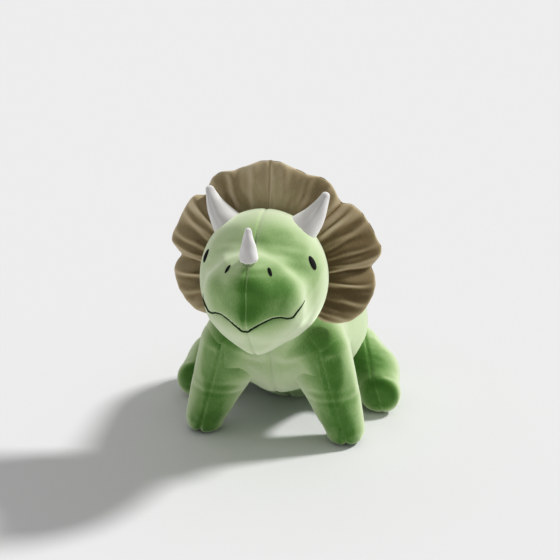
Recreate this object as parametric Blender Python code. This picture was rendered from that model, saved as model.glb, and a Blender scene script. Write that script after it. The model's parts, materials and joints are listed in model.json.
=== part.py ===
"""Stuffed three-horned dinosaur, sewn from velvet panels over fibre filling.

The toy sits on the floor (z = 0), faces -Y and is symmetric about X = 0; +X is its own left side.
Every soft part is a smooth blend of balls and ellipsoids. Skin panels are patches of the form's
surface, one fabric thick, and the filling is the same form one fabric thickness further in.
"""
import math

import bpy
import numpy as np

MM = 0.001

# Fabric and clearances
SKIN = 2.0 * MM          # velvet with its pile
SEAM = 0.6 * MM          # gap between two panels along their seam, and between skin and filling
JOINT_GAP = 0.7 * MM     # gap between two bodies that move past each other
FORE_AFT = -4.03 * MM      # shift that centres the toy's length on the origin

# Head: a cranium ball that turns in the neck, a muzzle and a jaw in front of it
HEAD_PIVOT = np.array([0.0, -95.0, 190.0]) * MM
CRANIUM = np.array([61.0, 62.0, 64.0]) * MM
MUZZLE_CENTRE = np.array([0.0, -136.0, 199.0]) * MM
MUZZLE = np.array([49.0, 48.0, 34.0]) * MM
JAW_CENTRE = np.array([0.0, -126.0, 168.0]) * MM
JAW = np.array([46.0, 47.0, 41.0]) * MM
HEAD_BALL = 65.0 * MM    # everything of the head near the neck is inside this ball
MOUTH_POINT = np.array([0.0, -176.0, 172.0]) * MM

# Neck pad between the head ball and the torso's hollow
NECK_THICKNESS = 8.0 * MM
NECK_HOLLOW = HEAD_BALL + NECK_THICKNESS + 2 * JOINT_GAP
NECK_HALF_ANGLE = math.radians(21)

# Torso: a narrow chest between the front legs and a broad rump that sits on the floor
CHEST_CENTRE = np.array([0.0, -8.0, 102.0]) * MM
CHEST = np.array([48.0, 60.0, 58.0]) * MM
CHEST_HALF_WIDTH = 35.5 * MM
ARMPIT_BACK = 2.0 * MM
ARMPIT_SLOPE = 1.0
BARREL_CENTRE = np.array([0.0, 24.0, 104.0]) * MM
BARREL = np.array([62.0, 56.0, 60.0]) * MM
RUMP_CENTRE = np.array([0.0, 64.0, 78.0]) * MM
RUMP = np.array([82.0, 73.0, 88.0]) * MM
TORSO_CORE = np.array([0.0, 38.0, 100.0]) * MM
HIP_NORMAL = np.array([0.94, 0.0, -0.3412])
HIP_OFFSET = 44.5 * MM

# Tail: a domed root that turns in a shallow hollow of the rump, tapering down to the back
TAIL_PIVOT = np.array([0.0, 148.0, 46.0]) * MM
TAIL_DOME = 32.0 * MM
TAIL_START = np.array([0.0, 121.0, 63.0]) * MM
TAIL_START_RADIUS = 25.0 * MM
TAIL_TIP_CENTRE = np.array([0.0, 182.0, 24.6]) * MM
TAIL_TIP_RADIUS = 10.0 * MM

# Legs of the left side; the right side mirrors them
SHOULDER = np.array([50.0, -36.0, 98.0]) * MM
SHOULDER_BALL = 28.0 * MM
FRONT_FOOT = np.array([72.0, -39.0, 15.0]) * MM
FRONT_FOOT_BALL = 20.5 * MM
HIP = np.array([64.0, 76.0, 48.0]) * MM
HIP_BALL = 32.0 * MM
KNEE = np.array([86.0, 63.0, 29.5]) * MM
KNEE_BALL = 29.0 * MM
HIND_FOOT = np.array([99.0, 35.0, 19.5]) * MM
HIND_FOOT_BALL = 21.5 * MM
HIND_CORE_SHIFT = np.array([12.0, 0.0, -8.0]) * MM

HORN_LIFT = 1.2 * MM     # seam allowance between a horn's rim and the head

# Horns, as base point on the head, tip centre, base and tip radius
BROW_HORN = (np.array([31.5, -86.0, 236.0]) * MM, np.array([54.5, -76.0, 265.5]) * MM, 13.0 * MM, 3.8 * MM)
NOSE_HORN = (np.array([0.0, -158.0, 224.0]) * MM, np.array([0.0, -162.0, 259.0]) * MM, 10.5 * MM, 3.2 * MM)

# Frill: a padded collar of five scalloped lobes behind the head
FRILL_RADIUS = 99.0 * MM
FRILL_FRONT = -66.0 * MM
FRILL_THICKNESS = 13.0 * MM
FRILL_END = math.radians(-46)
NOTCHES = (math.radians(44), math.radians(-1))
FRILL_NOTCH = 9.0 * MM   # depth of the outline between two lobes
FRILL_CROWN = 4.0 * MM   # extra height of the top lobe

# Embroidery
STITCH_LIFT = 0.4 * MM
STITCH_HEIGHT = 1.2 * MM
EYE_POINT = np.array([52.0, -116.0, 216.0]) * MM
NOSTRIL_POINT = np.array([18.5, -167.0, 222.0]) * MM
# Left half of the mouth, as x and z in millimetres from the middle to the corner
MOUTH_LINE = np.array([[0.0, 172.0], [12.0, 176.5], [24.0, 180.0], [32.0, 180.5], [39.0, 176.5], [46.0, 184.0]])

MIRROR = np.array([-1.0, 1.0, 1.0])


# ---------------------------------------------------------------- soft forms
def ellipsoid(p, centre, semi):
    """Signed distance, close to the surface, from points to an ellipsoid."""
    scaled = np.linalg.norm((p - centre) / semi, axis=-1)
    slope = np.linalg.norm((p - centre) / semi**2, axis=-1)
    return scaled * (scaled - 1.0) / np.maximum(slope, 1e-9)


def taper(p, start, end, start_radius, end_radius):
    """Signed distance from points to a round limb that tapers from start to end."""
    along = end - start
    t = np.clip((p - start) @ along / (along @ along), 0.0, 1.0)
    nearest = start + t[..., None] * along
    return np.linalg.norm(p - nearest, axis=-1) - (start_radius + t * (end_radius - start_radius))


def blend(a, b, width):
    """Union of two forms with a soft fillet of the given width."""
    h = np.clip(0.5 + 0.5 * (b - a) / width, 0.0, 1.0)
    return b * (1.0 - h) + a * h - width * h * (1.0 - h)


def outside_ball(p, centre, radius):
    return radius - np.linalg.norm(p - centre, axis=-1)


def head_form(p):
    face = blend(ellipsoid(p, MUZZLE_CENTRE, MUZZLE), ellipsoid(p, JAW_CENTRE, JAW), 10 * MM)
    return blend(ellipsoid(p, HEAD_PIVOT, CRANIUM), face, 8 * MM)


def torso_form(p):
    across = np.abs(p[..., 0])
    trunk = blend(ellipsoid(p, CHEST_CENTRE, CHEST), ellipsoid(p, BARREL_CENTRE, BARREL), 20 * MM)
    body = blend(trunk, ellipsoid(p, RUMP_CENTRE, RUMP), 16 * MM)
    armpit = across - CHEST_HALF_WIDTH - ARMPIT_SLOPE * np.maximum(p[..., 1] - ARMPIT_BACK, 0.0)
    side = across * HIP_NORMAL[0] + p[..., 2] * HIP_NORMAL[2] - HIP_OFFSET
    cuts = (
        body,
        armpit / math.hypot(1.0, ARMPIT_SLOPE),
        side,
        outside_ball(p, HEAD_PIVOT, NECK_HOLLOW),
        outside_ball(p, TAIL_PIVOT, TAIL_DOME + 2 * JOINT_GAP),
        -p[..., 2],
    )
    return np.maximum.reduce(cuts)


def tail_form(p):
    tail = taper(p, TAIL_START, TAIL_TIP_CENTRE, TAIL_START_RADIUS, TAIL_TIP_RADIUS)
    dome = -outside_ball(p, TAIL_PIVOT, TAIL_DOME)
    rooted = (p - TAIL_PIVOT) @ (TAIL_TIP_CENTRE - TAIL_PIVOT) < 0.0
    return np.where(rooted, np.maximum(tail, dome), tail)


def front_leg_form(p):
    leg = taper(p, SHOULDER, FRONT_FOOT, SHOULDER_BALL, FRONT_FOOT_BALL)
    inner_face = CHEST_HALF_WIDTH + JOINT_GAP - p[..., 0]
    return np.maximum.reduce((leg, inner_face, -p[..., 2]))


def hind_leg_form(p):
    foot = taper(p, KNEE, HIND_FOOT, KNEE_BALL, HIND_FOOT_BALL)
    leg = blend(taper(p, HIP, KNEE, HIP_BALL, KNEE_BALL), foot, 6 * MM)
    inner_face = HIP_OFFSET + JOINT_GAP - p @ HIP_NORMAL
    return np.maximum.reduce((leg, inner_face, -p[..., 2]))


def mirrored(form):
    return lambda p: form(p * MIRROR)


# ---------------------------------------------------------------- casting rays onto a form
def cast(form, centre, directions, depth=0.0, reach=0.24, steps=240):
    """Points where rays from centre leave the form, depth inside its surface."""
    travel = np.linspace(0.0, reach, steps)
    samples = form(centre + directions[..., None, :] * travel[:, None]) + depth
    first = np.argmax(samples > 0.0, axis=-1)
    low, high = travel[np.maximum(first - 1, 0)], travel[first]
    for _ in range(24):
        middle = 0.5 * (low + high)
        out = form(centre + directions * middle[..., None]) + depth > 0.0
        low, high = np.where(out, low, middle), np.where(out, middle, high)
    return centre + directions * low[..., None]


def frame_about(axis, up):
    """Unit axis, the up direction square to it, and the side direction."""
    axis = axis / np.linalg.norm(axis)
    up = up - axis * (up @ axis)
    up = up / np.linalg.norm(up)
    return axis, up, np.cross(up, axis)


def ray(frame, turn, tilt):
    """Direction tilted away from the frame's axis, turned about it from its up direction."""
    axis, up, side = frame
    across = np.cos(turn)[..., None] * up + np.sin(turn)[..., None] * side
    return np.cos(tilt)[..., None] * axis + np.sin(tilt)[..., None] * across


# ---------------------------------------------------------------- meshes and objects
def material(name, colour, roughness):
    """Principled material, made once for each name."""
    if name in bpy.data.materials:
        return bpy.data.materials[name]
    made = bpy.data.materials.new(name)
    made.use_nodes = True
    shader = made.node_tree.nodes["Principled BSDF"]
    shader.inputs["Base Color"].default_value = (*colour, 1.0)
    shader.inputs["Roughness"].default_value = roughness
    shader.inputs["Metallic"].default_value = 0.0
    return made


GREEN = ("velvet_green", (0.24, 0.42, 0.15), 0.9)
BROWN = ("velvet_brown", (0.17, 0.13, 0.07), 0.9)
WHITE = ("fleece_white", (0.72, 0.69, 0.72), 0.85)
BLACK = ("thread_black", (0.010, 0.012, 0.010), 0.6)
DARK = ("thread_dark_green", (0.018, 0.040, 0.012), 0.7)
FIBRE = ("fibre_white", (0.85, 0.85, 0.83), 1.0)


def add_object(name, points, faces, finish, pivot):
    """One closed body, with its origin on the pivot of the body it belongs to."""
    shift = np.array([0.0, FORE_AFT, 0.0])
    mesh = bpy.data.meshes.new(name)
    mesh.from_pydata((np.asarray(points) - pivot).tolist(), [], faces)
    mesh.validate()
    piece = bpy.data.objects.new(name, mesh)
    piece.location = pivot + shift
    piece.data.materials.append(material(*finish))
    bpy.context.scene.collection.objects.link(piece)
    mesh.shade_smooth()
    mesh.set_sharp_from_angle(angle=math.radians(40))
    turn_outwards(mesh)
    return piece


def turn_outwards(mesh):
    """Flip the faces if the closed mesh has a negative volume."""
    corners = np.array([v.co for v in mesh.vertices])
    volume = 0.0
    for face in mesh.polygons:
        a = corners[face.vertices[0]]
        for i in range(1, len(face.vertices) - 1):
            volume += a @ np.cross(corners[face.vertices[i]], corners[face.vertices[i + 1]])
    if volume < 0.0:
        mesh.flip_normals()


def grid_faces(rows, columns, first, flip=False, wrap=False):
    """Triangles of a rows by columns grid of points, numbered from first.

    The diagonal always runs the same way, so that two grids cast on the same rays never cross.
    """
    faces = []
    for i in range(rows - 1):
        for j in range(columns if wrap else columns - 1):
            k = (j + 1) % columns
            a, b = first + i * columns + j, first + i * columns + k
            c, d = first + (i + 1) * columns + k, first + (i + 1) * columns + j
            faces += [[c, b, a], [d, c, a]] if flip else [[a, b, c], [a, c, d]]
    return faces


def slab(outer, inner):
    """Closed patch between two grids of points of the same size."""
    rows, columns = outer.shape[:2]
    count = rows * columns
    faces = grid_faces(rows, columns, 0) + grid_faces(rows, columns, count, flip=True)
    rim = [j for j in range(columns)]
    rim += [i * columns + columns - 1 for i in range(1, rows)]
    rim += [(rows - 1) * columns + j for j in range(columns - 2, -1, -1)]
    rim += [i * columns for i in range(rows - 2, 0, -1)]
    for a, b in zip(rim, rim[1:] + rim[:1]):
        faces.append([b, a, a + count, b + count])
    points = np.vstack([outer.reshape(-1, 3), inner.reshape(-1, 3)])
    return points, faces


def ball_mesh(grid, start_pole, end_pole):
    """Closed body from rings of points, with a point closing each end."""
    rows, columns = grid.shape[:2]
    points = np.vstack([grid.reshape(-1, 3), start_pole, end_pole])
    faces = grid_faces(rows, columns, 0, wrap=True)
    last = (rows - 1) * columns
    for j in range(columns):
        k = (j + 1) % columns
        faces.append([rows * columns, k, j])
        faces.append([rows * columns + 1, last + j, last + k])
    return points, faces


# ---------------------------------------------------------------- panels and fillings
def skin_panel(name, form, centre, frame, turns, columns, tilts, pivot):
    """Patch of fabric over a form, between two turns about the frame's axis."""
    tilt = tilts[:, None] * np.ones(columns)
    turn = np.linspace(turns[0], turns[1], columns) * np.ones((len(tilts), 1))
    reach = np.linalg.norm(cast(form, centre, ray(frame, turn, tilt)) - centre, axis=-1)
    trim = SEAM / 2 / (reach * np.sin(tilt))
    share = np.linspace(1.0, -1.0, columns)
    directions = ray(frame, turn + trim * share, tilt)
    outer = cast(form, centre, directions)
    inner = cast(form, centre, directions, depth=SKIN)
    return add_object(name, *slab(outer, inner), GREEN, pivot)


def filling(name, form, centre, frame, spans, tilts, pivot):
    """Fibre core that fills a form inside its skin, facet for facet under the panels."""
    depth = SKIN + SEAM
    turns = np.concatenate([np.linspace(start, end, columns)[:-1] for start, end, columns in spans])
    tilt = tilts[:, None] * np.ones(len(turns))
    turn = turns * np.ones((len(tilts), 1))
    grid = cast(form, centre, ray(frame, turn, tilt), depth)
    poles = cast(form, centre, np.array([frame[0], -frame[0]]), depth)
    return add_object(name, *ball_mesh(grid, poles[0], poles[1]), FIBRE, pivot)


def tilt_rows(spans):
    """Tilts from near one pole to near the other, from (last degree, rows) spans."""
    tilts = [POLE]
    for last, rows in spans:
        tilts += [tilts[-1] + (math.radians(last) - tilts[-1]) * i / rows for i in range(1, rows + 1)]
    return np.array(tilts)


def stuffed(form, centre, frame, spans, tilts, filling_name, pivot):
    """Skin panels, given as name to (start turn, end turn, columns), around one filling."""
    for name, (start, end, columns) in spans.items():
        skin_panel(name, form, centre, frame, (start, end), columns, tilts, pivot)
    filling(filling_name, form, centre, frame, spans.values(), tilts, pivot)


POLE = math.radians(3.5)     # small opening where panels meet at a pole of their form


def build_torso():
    pivot = np.array([0.0, 0.0, 0.0])
    frame = frame_about(HEAD_PIVOT - TORSO_CORE, np.array([0.0, 0.0, 1.0]))
    flank = math.radians(118)
    tilts = tilt_rows(((28, 3), (150, 7), (176.5, 4)))
    spans = {
        "belly_panel_right": (-math.pi, -flank, 6),
        "back_panel_right": (-flank, 0.0, 10),
        "back_panel_left": (0.0, flank, 10),
        "belly_panel_left": (flank, math.pi, 6),
    }
    stuffed(torso_form, TORSO_CORE, frame, spans, tilts, "torso_filling", pivot)


def build_neck():
    """Padded disc, a slice of a hollow ball, between the head and the torso."""
    axis = CHEST_CENTRE - HEAD_PIVOT
    frame = frame_about(axis, np.array([0.0, 0.0, 1.0]))
    columns, rows = 20, 4
    tilt = np.linspace(0.0, NECK_HALF_ANGLE, rows + 1)[1:, None] * np.ones(columns)
    turn = np.arange(columns) * (2 * math.pi / columns) * np.ones((rows, 1))
    inner_radius = HEAD_BALL + JOINT_GAP
    inner = HEAD_PIVOT + ray(frame, turn, tilt) * inner_radius
    outer = HEAD_PIVOT + ray(frame, turn, tilt) * (inner_radius + NECK_THICKNESS)
    grid = np.concatenate([inner, outer[::-1]])
    poles = [HEAD_PIVOT + frame[0] * r for r in (inner_radius, inner_radius + NECK_THICKNESS)]
    add_object("neck_pad", *ball_mesh(grid, *poles), GREEN, HEAD_PIVOT)


def head_frame():
    return frame_about(MOUTH_POINT - HEAD_CORE, np.array([0.0, 0.0, 1.0]))


HEAD_CORE = HEAD_PIVOT + np.array([0.0, -14.0, -2.0]) * MM


def build_head():
    cheek = math.radians(90)
    tilts = tilt_rows(((20, 2), (176.5, 9)))
    spans = {
        "head_panel_right": (-cheek, 0.0, 9),
        "head_panel_left": (0.0, cheek, 9),
        "jaw_panel": (cheek, 2 * math.pi - cheek, 16),
    }
    stuffed(head_form, HEAD_CORE, head_frame(), spans, tilts, "head_filling", HEAD_PIVOT)


# ---------------------------------------------------------------- embroidery on the head
def on_head(point, lift):
    """The spot on the head in line with a point, lifted off the surface."""
    away = point - HEAD_CORE
    away = away / np.linalg.norm(away, axis=-1)[..., None]
    return cast(head_form, HEAD_CORE, away, depth=-lift)


def satin_patch(name, point, half_width, half_height, lean, finish):
    """Oval of satin stitch lying on the head."""
    middle = on_head(point, 0.0)
    out = (middle - HEAD_CORE) / np.linalg.norm(middle - HEAD_CORE)
    out, up, side = frame_about(out, np.array([0.0, 0.0, 1.0]))
    columns, rows = 16, 2
    turn = np.arange(columns) * (2 * math.pi / columns)
    right = half_width * np.cos(turn)
    rise = half_height * np.sin(turn)
    across = (right * math.cos(lean) - rise * math.sin(lean))[:, None] * side
    along = (right * math.sin(lean) + rise * math.cos(lean))[:, None] * up
    rim = np.array([middle + (across + along) * share for share in np.linspace(0.5, 1.0, rows)])
    low = on_head(rim, STITCH_LIFT)
    high = on_head(rim, STITCH_LIFT + STITCH_HEIGHT)
    grid = np.concatenate([low, high[::-1]])
    poles = [on_head(middle, STITCH_LIFT), on_head(middle, STITCH_LIFT + STITCH_HEIGHT)]
    add_object(name, *ball_mesh(grid, *poles), finish, HEAD_PIVOT)


def build_mouth():
    """Thread line from one mouth corner down to the middle and up to the other corner."""
    half = MOUTH_LINE
    left = half[::-1] * np.array([-1.0, 1.0])
    line = np.vstack([left[:-1], half]) * MM
    fine = []
    for a, b in zip(line[:-1], line[1:]):
        fine += [a + (b - a) * t for t in (0.0, 0.34, 0.67)]
    fine = np.array(fine + [line[-1]])
    depth = MOUTH_POINT[1] + 30 * MM * (fine[:, 0] / (46 * MM)) ** 2
    route = np.stack([fine[:, 0], depth, fine[:, 1]], axis=-1)
    half_width = np.array([0.0, 0.0, 0.7 * MM])
    edges = np.stack([route - half_width, route + half_width])
    low = on_head(edges, STITCH_LIFT)
    high = on_head(edges, STITCH_LIFT + STITCH_HEIGHT)
    add_object("mouth_thread", *slab(high, low), DARK, HEAD_PIVOT)


def build_face():
    for side, flip in (("left", 1.0), ("right", -1.0)):
        mirror = np.array([flip, 1.0, 1.0])
        satin_patch(f"eye_{side}", EYE_POINT * mirror, 3.6 * MM, 6.6 * MM, 0.0, BLACK)
        satin_patch(f"nostril_{side}", NOSTRIL_POINT * mirror, 1.5 * MM, 3.6 * MM, -flip * 0.6, BLACK)
    build_mouth()


# ---------------------------------------------------------------- horns
def horn_grid(horn, columns, rows, inset, lift):
    """Rings of points along a horn, the first ring lying on the head's surface."""
    base, tip, base_radius, tip_radius = horn
    frame = frame_about(tip - base, np.array([0.0, -1.0, 0.3]))
    length = np.linalg.norm(tip - base)
    turn = np.arange(columns) * (2 * math.pi / columns)
    across = np.cos(turn)[:, None] * frame[1] + np.sin(turn)[:, None] * frame[2]

    def side_point(s):
        radius = base_radius + (tip_radius - base_radius) * s / length - inset
        return base + frame[0] * s[:, None] + across * radius[:, None]

    low = np.full(columns, -14 * MM)
    high = np.full(columns, length)
    for _ in range(30):
        middle = 0.5 * (low + high)
        inside = head_form(side_point(middle)) < lift
        low, high = np.where(inside, middle, low), np.where(inside, high, middle)
    rings = [side_point(high + (length - high) * t) for t in np.linspace(0.0, 1.0, rows)]
    end_radius = tip_radius - inset
    for angle in (math.radians(35), math.radians(65)):
        ring = tip + frame[0] * end_radius * math.sin(angle) + across * end_radius * math.cos(angle)
        rings.append(ring)
    return np.array(rings), tip + frame[0] * end_radius


def horn_core_base(horn, lift):
    """Point on the horn's axis just above the head's surface."""
    base, tip = horn[:2]
    axis = (tip - base) / np.linalg.norm(tip - base)
    reach = np.linspace(-20 * MM, 30 * MM, 400)
    distance = head_form(base + axis * reach[:, None])
    return base + axis * reach[np.argmax(distance > lift)]


def build_horn(name, horn):
    skin = 1.6 * MM
    columns = 12
    outer, outer_tip = horn_grid(horn, columns, 5, 0.0, HORN_LIFT)
    inner, inner_tip = horn_grid(horn, columns, 5, skin, HORN_LIFT)
    grid = np.concatenate([outer[::-1], inner])
    add_object(name, *ball_mesh(grid, outer_tip, inner_tip), WHITE, HEAD_PIVOT)
    core, core_tip = horn_grid(horn, columns, 4, skin + SEAM, HORN_LIFT)
    base = horn_core_base(horn, HORN_LIFT)
    add_object(f"{name}_filling", *ball_mesh(core, base, core_tip), FIBRE, HEAD_PIVOT)


def build_horns():
    base, tip, base_radius, tip_radius = BROW_HORN
    build_horn("brow_horn_left", BROW_HORN)
    build_horn("brow_horn_right", (base * MIRROR, tip * MIRROR, base_radius, tip_radius))
    build_horn("nose_horn", NOSE_HORN)


# ---------------------------------------------------------------- frill
def frill_rim(angle):
    """Outline radius of the scalloped frill at an angle up from the side."""
    scallop = sum(FRILL_NOTCH * np.exp(-(((angle - notch) / math.radians(7)) ** 2)) for notch in NOTCHES)
    corner = 12 * MM * np.clip((angle - math.radians(90)) / math.radians(-46), 0, 1) ** 2
    ends = 22 * MM * np.clip((math.radians(-32) - angle) / math.radians(14), 0, 1) ** 2
    side = 3 * MM * np.exp(-(((angle - math.radians(14)) / math.radians(16)) ** 2))
    crown = FRILL_CROWN * np.exp(-(((angle - math.radians(90)) / math.radians(30)) ** 2))
    top = np.where(angle > NOTCHES[0], corner * 0.5, 0.0) - crown
    return FRILL_RADIUS + side - scallop - ends - top


def frill_inner(angle):
    """Radius where the frill's front meets the head."""
    low, high = np.full(angle.shape, 20 * MM), np.full(angle.shape, 90 * MM)
    for _ in range(30):
        middle = 0.5 * (low + high)
        x, z = middle * np.cos(angle), HEAD_PIVOT[2] + middle * np.sin(angle)
        spot = np.stack([x, np.full(angle.shape, FRILL_FRONT), z], axis=-1)
        inside = head_form(spot) < 0.8 * MM
        low, high = np.where(inside, middle, low), np.where(inside, high, middle)
    return high


def frill_surface(angle, share, layer):
    """Point of the frill: share 0 at the head to 1 at the rim, layer 0 in front to 1 behind."""
    up = np.where(angle > math.pi / 2, math.pi - angle, angle)
    inner, rim = frill_inner(angle), frill_rim(up)
    radius = inner + (rim - inner) * share
    swing = 24 * MM * np.exp(-(((up - math.radians(12)) / math.radians(34)) ** 2))
    flare = share ** 1.3 * (4 * MM + swing)
    pleat = 2.4 * MM * np.cos(18 * up) * share
    thickness = FRILL_THICKNESS * (1.0 - 0.45 * share ** 2)
    back = FRILL_FRONT + flare + pleat + layer * thickness
    return np.stack([radius * np.cos(angle), back, HEAD_PIVOT[2] + radius * np.sin(angle)], axis=-1)


def build_frill():
    """Front panel, batting and back panel, each a closed slab."""
    columns, rows = 49, 4
    angles = np.linspace(FRILL_END, math.pi - FRILL_END, columns)
    cloth = 0.14
    gap = 0.045
    layers = {
        "frill_front_panel": (0.0, cloth, BROWN),
        "frill_batting": (cloth + gap, 1.0 - cloth - gap, FIBRE),
        "frill_back_panel": (1.0 - cloth, 1.0, BROWN),
    }
    for name, (front, back, finish) in layers.items():
        share = np.linspace(0.0, 1.0, rows)[:, None] * np.ones(columns)
        angle = angles * np.ones((rows, 1))
        near = frill_surface(angle, share, front)
        far = frill_surface(angle, share, back)
        add_object(name, *slab(near, far), finish, HEAD_PIVOT)


# ---------------------------------------------------------------- legs and tail
def build_limb(name, form, start, end, pivot, front, sides):
    """Two panels that meet in front and behind, and the filling between them."""
    core = 0.5 * (start + end)
    frame = frame_about(end - start, front)
    tilts = tilt_rows(((24, 4), (156, 5), (176.5, 4)))
    first, second = (f"{name}_{side}_panel" for side in sides)
    spans = {first: (0.0, math.pi, 7), second: (math.pi, 2 * math.pi, 7)}
    stuffed(form, core, frame, spans, tilts, f"{name}_filling", pivot)


def build_legs():
    forward = np.array([0.0, -1.0, 0.0])
    upward = np.array([0.0, 0.0, 1.0])
    for side, flip in (("left", 1.0), ("right", -1.0)):
        mirror = np.array([flip, 1.0, 1.0])
        sides = ("outer", "inner") if flip > 0 else ("inner", "outer")
        front = front_leg_form if flip > 0 else mirrored(front_leg_form)
        hind = hind_leg_form if flip > 0 else mirrored(hind_leg_form)
        shoulder, foot = SHOULDER * mirror, FRONT_FOOT * mirror
        build_limb(f"front_leg_{side}", front, shoulder, foot, shoulder, forward, sides)
        hip, toe = (HIP + HIND_CORE_SHIFT) * mirror, HIND_FOOT * mirror
        build_limb(f"hind_leg_{side}", hind, hip, toe, HIP * mirror, upward, sides)


def build_tail():
    up = np.array([0.0, 0.0, 1.0])
    build_limb("tail", tail_form, TAIL_PIVOT, TAIL_TIP_CENTRE, TAIL_PIVOT, up, ("right", "left"))


def main():
    for old in list(bpy.data.objects):
        bpy.data.objects.remove(old)
    build_torso()
    build_neck()
    build_head()
    build_face()
    build_horns()
    build_frill()
    build_legs()
    build_tail()


main()
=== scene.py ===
"""Stuffed three-horned dinosaur: the soft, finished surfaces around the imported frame."""
import json
import math
from itertools import product

import bmesh
import bpy
import numpy as np
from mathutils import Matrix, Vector
from mathutils.bvhtree import BVHTree


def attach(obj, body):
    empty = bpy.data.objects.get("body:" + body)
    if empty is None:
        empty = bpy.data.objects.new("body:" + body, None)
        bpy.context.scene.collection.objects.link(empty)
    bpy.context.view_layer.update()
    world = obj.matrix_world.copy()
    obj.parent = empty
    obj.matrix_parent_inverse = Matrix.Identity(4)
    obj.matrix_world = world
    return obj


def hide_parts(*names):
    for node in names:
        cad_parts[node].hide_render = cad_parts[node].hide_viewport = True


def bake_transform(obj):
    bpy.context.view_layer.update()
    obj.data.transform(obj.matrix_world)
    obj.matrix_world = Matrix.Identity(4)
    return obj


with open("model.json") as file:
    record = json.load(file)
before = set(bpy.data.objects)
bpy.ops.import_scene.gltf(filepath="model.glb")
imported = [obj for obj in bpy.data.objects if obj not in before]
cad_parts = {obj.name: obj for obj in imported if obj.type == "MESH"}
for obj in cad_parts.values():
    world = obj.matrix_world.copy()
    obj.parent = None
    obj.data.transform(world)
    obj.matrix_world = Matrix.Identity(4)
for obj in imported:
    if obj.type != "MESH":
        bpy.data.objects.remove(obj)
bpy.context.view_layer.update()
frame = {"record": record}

MM = 0.001
JOINTS = {joint["name"]: joint for joint in frame["record"]["behaviour"]["joints"]}


def vec(x, y, z):
    """Vector in metres from millimetres."""
    return np.array([x, y, z], float) * MM


def unit(v):
    """The same directions, with length one."""
    return v / np.maximum(np.linalg.norm(v, axis=-1, keepdims=True), 1e-9)


def pivot(joint):
    return np.array(JOINTS[joint]["pos_m"], float)


MIRROR = np.array([-1.0, 1.0, 1.0])
HEAD = pivot("head_turn")
SHOULDER = pivot("shoulder_left")
HIP = pivot("hip_left")
TAIL = pivot("tail_wag")
CLOTH = 1.8 * MM          # thickness of a fabric panel with its pile


# ---------------------------------------------------------------- soft forms
def ellipsoid(p, centre, semi, power=2.0):
    """Egg shape with the given half sizes; a power above 2 makes it fuller at its corners."""
    share = np.abs((p - centre) / semi)
    scaled = np.maximum((share**power).sum(axis=-1), 1e-12) ** (1.0 / power)
    slope = np.linalg.norm(share ** (power - 1.0) / semi, axis=-1) * scaled ** (1.0 - power)
    return (scaled - 1.0) / np.maximum(slope, 1e-9)


def taper(p, start, end, start_radius, end_radius):
    along = end - start
    t = np.clip((p - start) @ along / (along @ along), 0.0, 1.0)
    nearest = start + t[..., None] * along
    return np.linalg.norm(p - nearest, axis=-1) - (start_radius + t * (end_radius - start_radius))


def blend(a, b, width):
    h = np.clip(0.5 + 0.5 * (b - a) / width, 0.0, 1.0)
    return b * (1.0 - h) + a * h - width * h * (1.0 - h)


def clip(a, b, width):
    """Intersection of two forms with a softened edge."""
    return -blend(-a, -b, width)


def bump(distance, width):
    return np.exp(-((distance / width) ** 2))


def side(p):
    """The same point on the toy's left side, for forms that are alike on both sides."""
    return np.stack([np.abs(p[..., 0]), p[..., 1], p[..., 2]], axis=-1)


MOUTH_X = np.array([0, 5, 12, 24, 31, 36, 40, 47, 60]) * MM
MOUTH_Z = np.array([-22.8, -18.2, -13.6, -9.2, -9.8, -12.6, -13.0, -2.0, 20]) * MM


def mouth_height(x):
    """Height of the lip line above the head's pivot, at a distance x from the middle."""
    return np.interp(np.abs(x), MOUTH_X, MOUTH_Z)


SKULL_FRONT, SKULL_BACK = vec(61, 59, 65.5), vec(61, 55, 65.5)


def head_base(p):
    """The head with its muzzle, beak and chin, without the lip and the creases."""
    q = side(p)
    middle = HEAD + vec(0, 7, 0.5)
    skull = ellipsoid(q, middle, np.where(q[..., 1:2] < middle[1], SKULL_FRONT, SKULL_BACK))
    crest = ellipsoid(q, HEAD + vec(0, -35, 17), vec(29, 44, 28))
    cheeks = ellipsoid(q, HEAD + vec(0, -30, 3), vec(48, 43, 29), 2.5)
    muzzle = blend(crest, cheeks, 12 * MM)
    beak = ellipsoid(q, HEAD + vec(0, -51, -8), vec(20, 30, 21))
    jaw = ellipsoid(q, HEAD + vec(0, -27, -16), vec(47, 45, 31))
    chin = ellipsoid(q, HEAD + vec(0, -23, -38), vec(26, 28, 26))
    face = blend(blend(muzzle, beak, 12 * MM), blend(jaw, chin, 16 * MM), 9 * MM)
    return blend(skull, face, 6 * MM)


BROW_CREASES = ((33, 2.4, 1.0), (41, 2.8, 0.8), (49, 2.6, 0.6))   # height and width in mm, share of depth


def head_form(p):
    """The head with the fabric tucked in below the lip, and shallow creases across the brow."""
    q = side(p)
    below = mouth_height(q[..., 0]) + HEAD[2] - q[..., 2]
    front = np.clip((HEAD[1] - 34 * MM - q[..., 1]) / (10 * MM), 0.0, 1.0)
    tuck = np.clip(below / (1.6 * MM) + 0.5, 0.0, 1.0) * np.exp(-np.maximum(below, 0.0) / (9 * MM))
    inward = np.clip((42 * MM - q[..., 0]) / (12 * MM), 0.0, 1.0)
    arch = q[..., 2] - HEAD[2] + q[..., 0] ** 2 * 5.0
    brow = sum(deep * bump(arch - high * MM, wide * MM) for high, wide, deep in BROW_CREASES)
    brow = brow * np.clip((HEAD[1] - 12 * MM - q[..., 1]) / (16 * MM), 0.0, 1.0)
    return head_base(p) + 2.2 * MM * tuck * front * inward + 0.4 * MM * brow


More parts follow.
